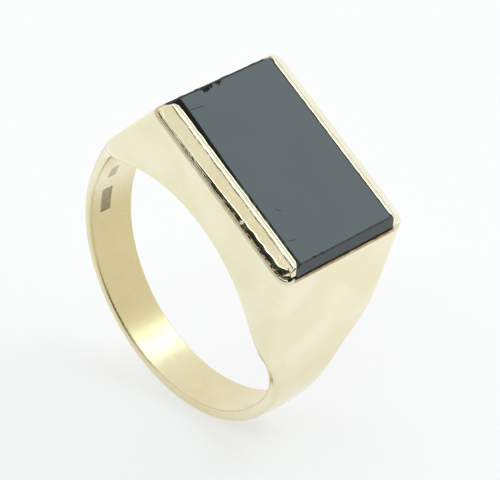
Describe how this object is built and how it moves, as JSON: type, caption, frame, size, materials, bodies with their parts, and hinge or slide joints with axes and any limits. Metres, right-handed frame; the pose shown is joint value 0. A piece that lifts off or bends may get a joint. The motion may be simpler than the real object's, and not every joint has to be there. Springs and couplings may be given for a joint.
{
  "type": "signet ring",
  "caption": "Finger ring with a flared head that holds a flat rectangular dark stone tablet between two sloping bezel bars.",
  "frame": {"origin": "centre of the finger hole", "axes": "+Y along the finger, +Z out through the face of the tablet, X along the tablet's long side"},
  "size_m": [0.0208, 0.0108, 0.0247],
  "materials": {
    "gold_polished": "polished pale yellow gold with fine wear scratches",
    "onyx_polished": "mirror polished black onyx with small edge chips",
    "solder": "dull, slightly dark hard solder",
    "cement": "matt dark stone cement"
  },
  "bodies": {
    "root": {"ring_body": "gold_polished", "onyx_tablet": "onyx_polished", "front_bezel_bar": "gold_polished", "back_bezel_bar": "gold_polished", "front_solder_seam": "solder", "back_solder_seam": "solder", "stone_cement": "cement"}
  },
  "joints": []
}
